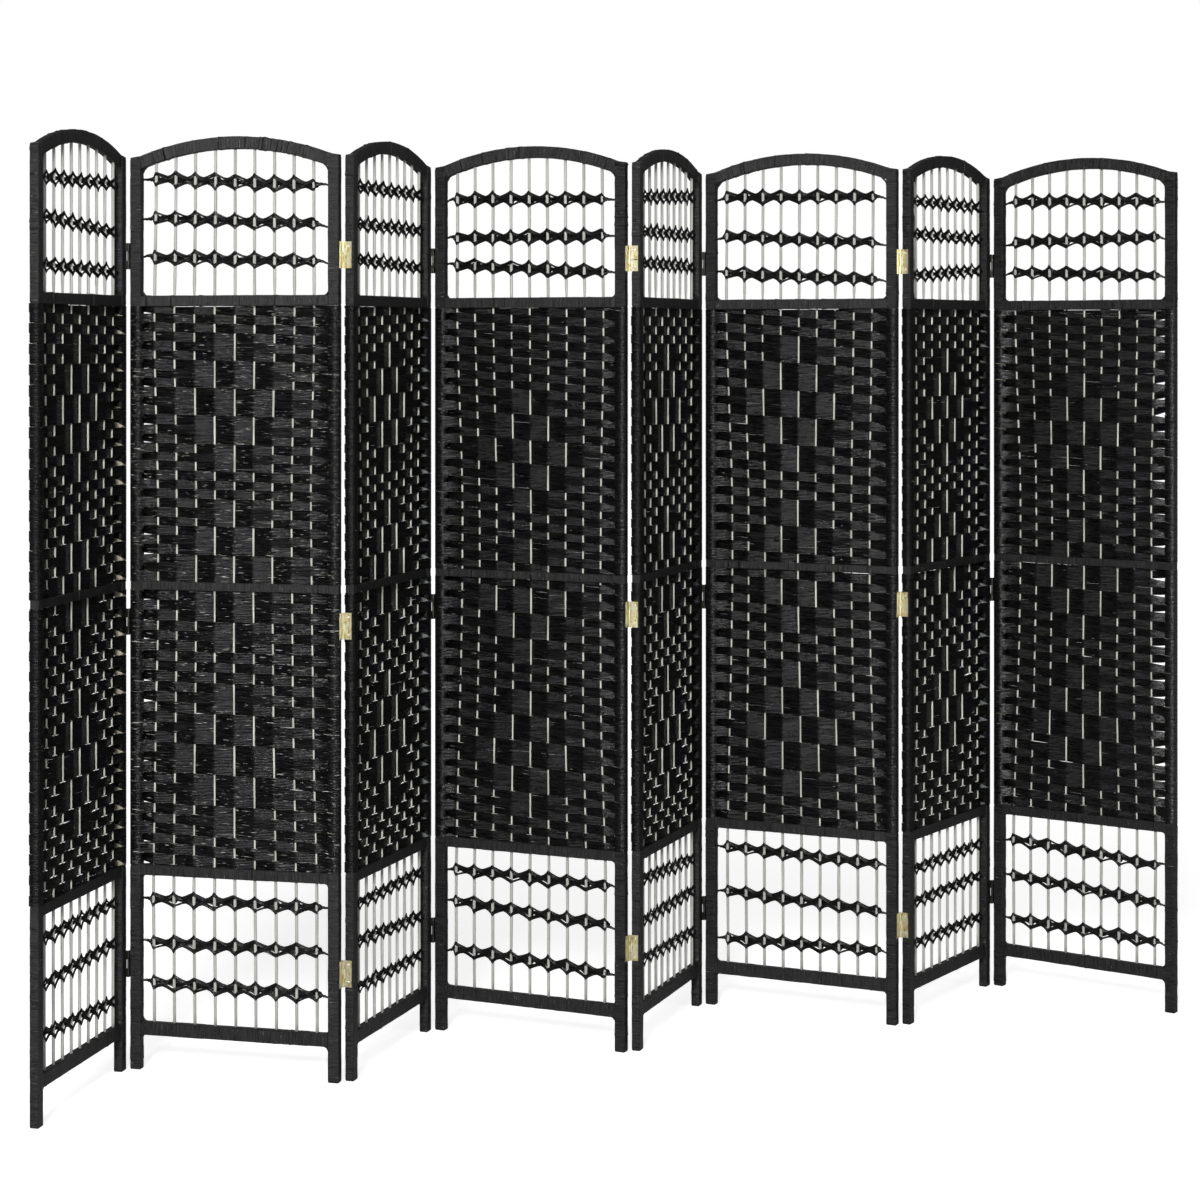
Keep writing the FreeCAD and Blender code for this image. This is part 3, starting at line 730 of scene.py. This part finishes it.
def weave_field(number, name, top, bottom, rows, first_row):
    """One woven field: every row a flat bundle of cords, wound round the posts."""
    seed = 10 * number + SEEDS[name]
    dice = random.Random(seed)
    noise = np.random.RandomState(seed)
    strands = Strands(number)
    pitch = (top - bottom) / rows
    knots = np.array([0.0, POST_WIDTH] + RODS + [PANEL_WIDTH - POST_WIDTH, PANEL_WIDTH])
    edges = {}
    for i in range(-1, rows + 2):
        wave = noise.uniform(-EDGE_WAVE, EDGE_WAVE, len(knots))
        edges[i] = (top - i * pitch + noise.uniform(-EDGE_SHIFT, EDGE_SHIFT), wave)
    first_plain = COURSES[number][0]
    notch_from = dice.uniform(POST_WIDTH, PANEL_WIDTH * NOTCH_END_SHARE)
    notch_to = notch_from + dice.uniform(*NOTCH_LENGTH)
    notch_deep = dice.uniform(*NOTCH_DEPTH)
    for i in range(-1, rows + 1):
        states, shows_odd = course_states(first_row + i, first_plain)
        middle = top - (i + 0.5) * pitch
        stations = field_stations(number, states, dice, shows_odd, rods_at(number, middle))
        x, y = stations[:, 0], stations[:, 1]
        lean = np.interp(middle, LEAN_LEVELS, LEANS[number])
        inward = np.clip(x, POST_WIDTH, PANEL_WIDTH - POST_WIDTH) - PANEL_WIDTH / 2
        rise = stations[:, 2] * pitch + lean * inward / ROD_SPAN
        high = edges[i][0] + np.interp(x, knots, edges[i][1]) + rise - stations[:, 4]
        low = edges[i + 1][0] + np.interp(x, knots, edges[i + 1][1]) + rise + stations[:, 5]
        high, low = high + ROW_LAP, low - ROW_LAP
        if dice.random() < LOOSE_SHARE:
            bay = dice.randrange(-1, ROD_COUNT)
            start = FIRST_ROD + ROD_PITCH * bay
            bays = dice.choice(LONG_LOOSE_BAYS if number in LONG_LOOSE_PANELS else LOOSE_BAYS)
            inside = (x > start - 1) & (x < start + ROD_PITCH * bays + 1)
            inside &= (x > POST_WIDTH + 2) & (x < PANEL_WIDTH - POST_WIDTH - 2)
            high = high - inside * dice.uniform(*LOOSE_DROP)
        between_posts = PANEL_WIDTH / 2 - POST_WIDTH - 3.0
        tuck = np.where(np.abs(x - PANEL_WIDTH / 2) < between_posts, TUCK, 0.0)
        notched = (x > notch_from) & (x < notch_to)
        ceiling = np.where(notched, top - notch_deep, top + tuck - 0.1)
        high = np.clip(high, bottom - tuck + 0.8, ceiling)
        low = np.clip(low, bottom - tuck + 0.1, top + tuck - 0.8)
        tall = np.maximum(high - low, LEAST_ROW)
        half_up = tall / (2 * CORDS) * CORD_SWELL
        wild, even = CORD_STRAY
        for j in range(CORDS):
            share = (j + 0.5) / CORDS
            z = low + tall * share
            stray = noise.uniform(-wild, wild, len(x)) + noise.uniform(-even, even)
            depth = stations[:, 3] * (1 + noise.uniform(-DEPTH_SPREAD, DEPTH_SPREAD))
            path = np.stack([x, y, z + stray * np.minimum(1.0, tall / pitch)], axis=1)
            strands.level_tube(path, half_up, depth, noise.uniform(0, 1))
    strands.mesh("panel_%d_%s_weave" % (number, name), CORD[number], "cord",
                 ["panel_%d_weave" % number])


def ribbon(strands, stations, cords, noise):
    """A flat bundle along stations of x, y, centre, half height."""
    x, y, centre, half = np.array(stations, float).T
    for j in range(cords):
        share = (2 * j + 1) / cords - 1
        z = centre + half * share + noise.uniform(-0.15, 0.15, len(x))
        path = np.stack([x, y, z], axis=1)
        thick = np.full(len(x), CORD_DEPTH) * (1 + noise.uniform(-DEPTH_SPREAD, DEPTH_SPREAD))
        strands.level_tube(path, half / cords * BAND_SWELL, thick, noise.uniform(0, 1))


def pinch(share):
    """How far a front cord stands from the waist on its way between two rods:
    a long slope from the first and a steep one up to the second."""
    low, long_curve, steep_curve = 0.62, 1.25, 1.5
    if share < low:
        return (1 - share / low) ** long_curve
    return ((share - low) / (1 - low)) ** steep_curve


def band(strands, rods, level, lean, dice, noise, phase):
    """A pinched band: a ribbon behind the rods and two in front that spread at
    every rod and meet between the rods, with cords tapering out to the posts."""
    behind, upper, lower = [], [], []
    size = [FIRST_PEAK] + [1.0] * (ROD_COUNT - 2) + [LAST_PEAK]
    size = [s * dice.uniform(*PEAK_SPREAD) for s in size]

    def at(x):
        return level + lean * (x - PANEL_WIDTH / 2) / ROD_SPAN

    def point(x, z, side):
        """The band's pointed end, beyond its first or last rod."""
        behind.append((x + side * 9.5, 0.4, z, BAND_END))
        upper.append((x + side * 5.6, TAIL_LIE, z + 2.2, BAND_END))
        lower.append((x + side * 5.6, TAIL_LIE, z - 2.2, BAND_END))

    for r, (x, s) in enumerate(zip(rods, size)):
        tall, core = PEAK_HALF * s, CORE_HALF * s
        z = at(x) + dice.uniform(-0.9, 0.9)
        if r == 0:
            point(x, z, -1)
        pinched = 0.5 if dice.random() < HOLE_CHANCE else 1.0
        for away, y, height in ((-7.2, ROW_LIE * 0.8, 0.8), (-3.0, ROW_LIE, 1.2),
                                (3.0, ROW_LIE, 1.2), (7.2, ROW_LIE * 0.8, pinched)):
            behind.append((x + away, y, z, core * height))
        for part, sign in ((upper, 1), (lower, -1)):
            for away in (-0.9, 0.9):
                part.append((x + away, -ROW_LIE, z + sign * PEAK * s, tall))
        if r == ROD_COUNT - 1:
            point(x, z, 1)
            break
        bay = rods[r + 1] - x
        ahead = size[r + 1]
        slack = dice.uniform(-0.8, 0.8)
        flags = [dice.random() < FLAG_CHANCE, dice.random() < FLAG_CHANCE]
        flags[(r + phase) % 2] = True
        open_flag = dice.choice((0, 1, 2, 2))
        for share, y, half in ((0.3, 2.2, 4.0), (0.5, 1.4, 3.4), (0.7, 2.2, 4.0)):
            place = x + bay * share
            behind.append((place, y, at(place) + slack * 0.3, half))
        for share in FRONT_SHARES:
            far = abs(share - 0.5) * 2
            place = x + bay * share
            local = s + (ahead - s) * share
            y = -CORD_DEPTH - (ROW_LIE - CORD_DEPTH) * far
            for k, (part, sign) in enumerate(((upper, 1), (lower, -1))):
                reach = pinch(share if flags[k] else 1 - share)
                height = (WAIST + (PEAK - WAIST) * reach) * local
                half = WAIST_HALF + (tall - WAIST_HALF) * far
                if open_flag == k and flags[k] and share < 0.5:
                    half *= OPEN_NARROWING
                    height += OPEN_RISE
                part.append((place, y, at(place) + slack + sign * height, half))
    ribbon(strands, behind, CORE_CORDS, noise)
    ribbon(strands, upper, BAND_CORDS, noise)
    ribbon(strands, lower, BAND_CORDS, noise)
    left, right = rods[0] - TAIL_START, rods[-1] + TAIL_START
    band_tail(strands, left, POST_WIDTH - TAIL_SINK, at(left), dice, noise)
    band_tail(strands, right, PANEL_WIDTH - POST_WIDTH + TAIL_SINK, at(right), dice, noise)


def band_tail(strands, start, stop, level, dice, noise):
    """Three twisted cords that taper from a band's end at start into the post."""
    rise = dice.uniform(-2.0, 3.5)
    drop = dice.uniform(-9.0, 2.0)
    lift = dice.uniform(-2.0, 2.0)
    share = np.linspace(0, 1, TAIL_STATIONS)
    x = start + (stop - start) * share
    z = level + lift * (1 - share) + drop * share + rise * 4 * share * (1 - share)
    turn = share * TAIL_TWIST + dice.uniform(0, 6)
    girth = np.interp(share, (0.0, 0.45, 1.0), (3.4, 1.9, 1.1))
    step = -1 if stop < start else 1
    thick = girth[::step]
    for strand in range(3):
        swing = turn + 2 * math.pi / 3 * strand
        y = TAIL_LIE + girth * 0.55 * np.cos(swing)
        path = np.stack([x, y, z + girth * 0.75 * np.sin(swing)], axis=1)
        strands.level_tube(path[::step], thick * 0.8, thick * 0.7, noise.uniform(0, 1))


def make_bands(number):
    """The six bands of a panel."""
    dice = random.Random(SEEDS["bands"] + number)
    noise = np.random.RandomState(SEEDS["bands"] + number)
    strands = Strands(number)
    for i, level in enumerate(BAND_LEVELS):
        offset, lean = BAND_SWAY[number][i]
        band(strands, rods_at(number, level), level + offset, lean, dice, noise, i % 2)
    strands.mesh("panel_%d_cord_bands" % number, CORD[number], "cord",
                 ["panel_%d_bands" % number])


def winding(strands, spine, normal, half_across, half_deep, dice, knots=KNOT_CHANCE):
    """Cord wound round a member: a ribbed skin along spine, two rings a turn."""
    spine, normal = np.asarray(spine, float), np.asarray(normal, float)
    runs = np.linalg.norm(np.diff(spine, axis=0), axis=1)
    reach = np.concatenate([[0.0], np.cumsum(runs)])
    marks, ribs, tones = [0.0], [0.0], [0.5]
    swell, aim, tone, kept = 0.0, 0.0, 0.5, 0
    while marks[-1] < reach[-1] - 2 * WINDING_PITCH:
        turn = WINDING_PITCH * dice.uniform(*PITCH_SPREAD)
        if dice.random() < SWELL_CHANCE:
            aim = dice.uniform(-SWELL_REACH, SWELL_REACH)
        if dice.random() < knots:
            swell += dice.uniform(*KNOT_SIZE)
        swell += (aim - swell) * SWELL_PACE
        kept -= 1
        if kept < 0:
            tone, kept = dice.random(), dice.choice((0, 0, 1, 2))
        for height in (WINDING_RIB * dice.uniform(*RIB_SPREAD), 0.0):
            marks.append(marks[-1] + turn * 0.5)
            ribs.append(WINDING_BASE + swell + height)
            tones.append(tone)
    marks.append(reach[-1])
    ribs.append(0.0)
    tones.append(0.5)
    marks, ribs = np.array(marks), np.array(ribs)
    centre = np.stack([np.interp(marks, reach, spine[:, k]) for k in range(3)], axis=1)
    out = np.stack([np.interp(marks, reach, normal[:, k]) for k in range(3)], axis=1)
    wide, deep = half_across - WINDING_CHAMFER, half_deep - WINDING_CHAMFER
    corners = [(half_across, -deep), (half_across, deep), (wide, half_deep), (-wide, half_deep),
               (-half_across, deep), (-half_across, -deep), (-wide, -half_deep), (wide, -half_deep)]
    rings = np.empty((len(marks), len(corners), 3))
    place = np.empty_like(rings)
    grow = 1 + ribs / math.hypot(half_across, half_deep) * 1.2
    backwards = np.array([0.0, 1.0, 0.0])
    around = 0.0
    for k, (u, v) in enumerate(corners):
        rings[:, k] = centre + out * (u * grow)[:, None] + backwards * (v * grow)[:, None]
        before = corners[k - 1]
        around += math.hypot(u - before[0], v - before[1])
        place[:, k, 0] = around * MM
        place[:, k, 1] = np.arange(len(marks)) * 0.5
        place[:, k, 2] = tones
    strands.shell(rings, place)


def make_windings(number):
    """Cord wound round the rails, the arch and the bare ends of the posts."""
    dice = random.Random(SEEDS["windings"] + number)
    strands = Strands(number)
    left, right = POST_WIDTH - 1.0, PANEL_WIDTH - POST_WIDTH + 1.0
    for low, high in (BOTTOM_RAIL, LOWER_RAIL, MIDDLE_RAIL, UPPER_RAIL):
        level = (low + high) / 2
        winding(strands, [(left, 0, level), (right, 0, level)], [(0, 0, 1), (0, 0, 1)],
                (high - low) / 2, RAIL_DEPTH / 2, dice)
    half = PANEL_WIDTH / 2
    middle = ARCH_OUTER - ARCH_RAIL / 2
    bow = math.asin((half - left) / middle)
    turns = np.linspace(-bow, bow, ARCH_STATIONS)
    spine = [(half + middle * math.sin(t), 0, ARCH_CENTRE + middle * math.cos(t)) for t in turns]
    normal = [(math.sin(t), 0, math.cos(t)) for t in turns]
    winding(strands, spine, normal, ARCH_RAIL / 2, RAIL_DEPTH / 2, dice, ARCH_KNOT_CHANCE)
    shoulder = ARCH_CENTRE + math.sqrt(ARCH_OUTER**2 - (half - POST_WIDTH) ** 2) - SHOULDER_FALL
    for x in (POST_WIDTH / 2, PANEL_WIDTH - POST_WIDTH / 2):
        for low, high in ((1.5, LOWER_RAIL[1] - 2.0), (UPPER_RAIL[0] + 2.0, shoulder - 1.0)):
            winding(strands, [(x, 0, low), (x, 0, high)], [(-1, 0, 0), (-1, 0, 0)],
                    POST_WIDTH / 2, POST_DEPTH / 2, dice)
    obj = strands.mesh("panel_%d_frame_windings" % number, WRAP, "cord")
    obj.data.set_sharp_from_angle(angle=SHARP_EDGE)


def corner_fillet(x, z, across, upward, radius, slope, points, quads, dice):
    """A concave fillet in the corner of a post and a rail, at x, z, opening
    towards across (+1 right, -1 left) and upward (+1 up, -1 down); the rail
    climbs by slope away from the post."""
    steps = 6
    depth = RAIL_DEPTH / 2 + 0.3
    sink = 1.0
    base = len(points)
    profile = []
    for i in range(steps + 1):
        angle = math.pi / 2 * i / steps
        reach = radius * dice.uniform(0.90, 1.10)
        profile.append((reach * (1 - math.cos(angle)), reach * (1 - math.sin(angle))))
    profile[0] = (-sink, radius)
    profile[-1] = (radius, -sink)
    lips = ((-depth, 0.6), (1.2 - depth, 0.0), (depth - 1.2, 0.0), (depth, 0.6))
    for y, inset in lips:
        for u, v in profile:
            points.append((x + across * (u - inset), y, z + upward * (v - inset) + slope * u))
        points.append((x - across * sink, y, z - upward * sink))
    ring = len(profile) + 1
    flip = across * upward > 0
    for lip in range(len(lips) - 1):
        for i in range(ring):
            a = base + lip * ring + i
            b = base + lip * ring + (i + 1) % ring
            quad = [a, b, b + ring, a + ring]
            quads.append(quad if flip else quad[::-1])


def solid(number, name, points, quads, material):
    """A piece of faces between points that are given in the panel's millimetres."""
    points = to_frame(number, np.array(points, float))
    dress(mesh_of(name, points, np.array(quads)), number, material)


def make_corners(number):
    """Fillets of glue and cord where the rails meet the posts."""
    dice = random.Random(SEEDS["corners"] + number)
    points, quads = [], []
    right = PANEL_WIDTH - POST_WIDTH
    for x, across in ((POST_WIDTH, 1), (right, -1)):
        climb = (arch_underside(x + across * ARCH_CORNER) - arch_underside(x)) / ARCH_CORNER
        for z, upward, radius, slope in (
                (BOTTOM_RAIL[1], 1, BOTTOM_CORNER, 0), (BOTTOM_RAIL[0], -1, BOTTOM_CORNER, 0),
                (LOWER_RAIL[0], -1, LOWER_CORNER, 0), (UPPER_RAIL[1], 1, UPPER_CORNER, 0),
                (arch_underside(x), -1, ARCH_CORNER, climb)):
            corner_fillet(x, z, across, upward, radius * dice.uniform(0.8, 1.15), slope,
                          points, quads, dice)
    solid(number, "panel_%d_corner_fillets" % number, points, quads, RAIL)


def lathe(centre, axis, profile, sides, points, quads):
    """A turned shape: profile of radius and height along axis (unit X direction)."""
    base = len(points)
    for radius, height in profile:
        for k in range(sides):
            turn = 2 * math.pi * k / sides
            points.append((centre[0] + axis * height,
                           centre[1] + radius * math.cos(turn),
                           centre[2] + radius * math.sin(turn)))
    for i in range(len(profile) - 1):
        for k in range(sides):
            a, b = base + i * sides + k, base + i * sides + (k + 1) % sides
            quad = [a, b, b + sides, a + sides]
            quads.append(quad if axis > 0 else quad[::-1])


def make_screws(number):
    """Countersunk screws on this panel's hinge leaves."""
    points, quads = [], []
    head, dome, sides = 2.6, 0.35, 12
    profile = [(head, -0.4), (head, 0.02), (head * 0.92, dome * 0.6), (head * 0.6, dome),
               (head * 0.3, dome), (head * 0.26, dome - 0.35), (0.05, dome - 0.40)]
    for end in (0, 1):
        joint = number - 1 + end
        if not 1 <= joint < len(PANELS):
            continue
        y = -LEAF_SHIFT if joint % 2 else LEAF_SHIFT
        x, outward = (PANEL_WIDTH + LEAF, 1) if end else (-LEAF, -1)
        for level in HINGE_LEVELS:
            for offset in (-SCREW_OFFSET, SCREW_OFFSET):
                lathe((x, y, level + offset), outward, profile, sides, points, quads)
    solid(number, "panel_%d_hinge_screws" % number, points, quads, SCREW)


def dress_frame(number):
    """Materials of the CAD pieces that are shown as they are."""
    looks = {"left_post": POST[number], "right_post": POST[number], "rails": RAIL,
             "hinges": BRASS, "hinge_pins": PIN_BRASS}
    for part, material in looks.items():
        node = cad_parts.get("panel_%d_%s" % (number, part))
        if node is not None:
            node.data.materials.clear()
            node.data.materials.append(material)


def make_panel(number):
    """All the pieces of one panel."""
    dress_frame(number)
    make_rods(number)
    _, upper, hidden, lower = COURSES[number]
    weave_field(number, "upper", UPPER_RAIL[0], MIDDLE_RAIL[1], upper, 0)
    weave_field(number, "lower", MIDDLE_RAIL[0], LOWER_RAIL[1], lower, upper + hidden)
    make_bands(number)
    make_windings(number)
    make_corners(number)
    make_screws(number)


for panel_number in PANELS:
    make_panel(panel_number)


# The photograph's camera, solved from the corners of the posts.
CAMERA_PLACE = (-2.1085, -4.9133, 1.3279)
CAMERA_TURN = (90.0, 0.0, -21.158)
CAMERA_SENSOR = 36.0
CAMERA_LENS = 84.29
CAMERA_SHIFT = (0.0791, -0.2148)

# Lights: place, size and power of each, and the point that both face.
KEY = ((-4.83, -7.44, 4.3), 1.8, 790.0)
FILL = ((7.0, -9.0, 5.5), 4.0, 215.0)
LIT_POINT = (0.0, 0.0, 0.9)

# The room's light grows from in front of the object to behind it, by direction.
ROOM_DIM, ROOM_BRIGHT = 0.035, 0.32
ROOM_FRONT, ROOM_BACK = -0.1, 0.7

# The floor glows to the camera by FLOOR_GLOW up to FLOOR_NEAR metres from the
# middle, and by 1 from FLOOR_FAR on.
FLOOR_SIZE = 40.0
FLOOR_NEAR, FLOOR_FAR = 1.6, 5.0
FLOOR_GLOW = 0.78


def make_camera():
    """Camera of the photograph."""
    data = bpy.data.cameras.new("camera")
    data.sensor_width = CAMERA_SENSOR
    data.lens = CAMERA_LENS
    data.shift_x, data.shift_y = CAMERA_SHIFT
    camera = new_object("camera", data)
    camera.location = CAMERA_PLACE
    camera.rotation_euler = [math.radians(angle) for angle in CAMERA_TURN]
    bpy.context.scene.camera = camera


def make_floor():
    """A wide pale floor that shows white to the camera and keeps the shadow."""
    n = Nodes(bpy.data.materials.new("pale_floor"))
    coordinates = n.node("TexCoord").outputs["Object"]
    away = n.node("VectorMath", {0: coordinates}, operation="LENGTH")
    fade = n.range(n.spread(away.outputs["Value"], FLOOR_NEAR, FLOOR_FAR), FLOOR_GLOW, 1.0)
    grain = n.noise(coordinates, 3.0, 3.0, 0.5)
    n.join(n.ramp(grain, (0.3, (0.72, 0.72, 0.72)), (0.7, (0.76, 0.76, 0.76))),
           n.shader.inputs["Base Color"])
    n.set(Roughness=0.85, Specular_IOR_Level=0.1)
    path = n.node("LightPath")
    seen = n.math("MAXIMUM", path.outputs["Is Camera Ray"], path.outputs["Is Transmission Ray"])
    plain = n.shader.outputs["BSDF"]
    glow = n.node("Emission", {"Strength": fade}).outputs["Emission"]
    both = n.node("AddShader", {0: plain, 1: glow}).outputs["Shader"]
    pick = n.node("MixShader", {"Fac": seen, 1: plain, 2: both})
    n.join(pick.outputs["Shader"], n.tree.nodes["Material Output"].inputs["Surface"])
    bpy.ops.mesh.primitive_plane_add(size=FLOOR_SIZE)
    floor = bpy.context.object
    floor.name = "floor"
    floor.data.materials.append(n.block)


def make_world():
    """A dim room that is brighter behind the object, and white to the camera."""
    n = Nodes(bpy.data.worlds.new("studio"), "Background")
    bpy.context.scene.world = n.block
    depth = n.parts(n.node("TexCoord").outputs["Generated"])["Y"]
    room = n.mapped(depth, "SMOOTHSTEP", From_Min=ROOM_FRONT, From_Max=ROOM_BACK,
                    To_Min=ROOM_DIM, To_Max=ROOM_BRIGHT)
    path = n.node("LightPath")
    seen = n.math("MAXIMUM", path.outputs["Is Camera Ray"], room)
    seen = n.math("MAXIMUM", path.outputs["Is Transmission Ray"], seen)
    n.join(seen, n.shader.inputs["Strength"])
    n.set(Color=(1, 1, 1, 1))


def area_light(name, location, size, power):
    """A square soft box at location, facing the lit point."""
    data = bpy.data.lights.new(name, "AREA")
    data.shape = "SQUARE"
    data.size = size
    data.energy = power
    light = new_object(name, data)
    light.location = location
    aim = Vector(LIT_POINT) - Vector(location)
    light.rotation_euler = aim.to_track_quat("-Z", "Y").to_euler()


def make_studio():
    """Camera, floor, world and soft lights."""
    bpy.context.scene.view_settings.view_transform = "Standard"
    make_camera()
    make_floor()
    make_world()
    area_light("key", *KEY)
    area_light("fill", *FILL)


make_studio()
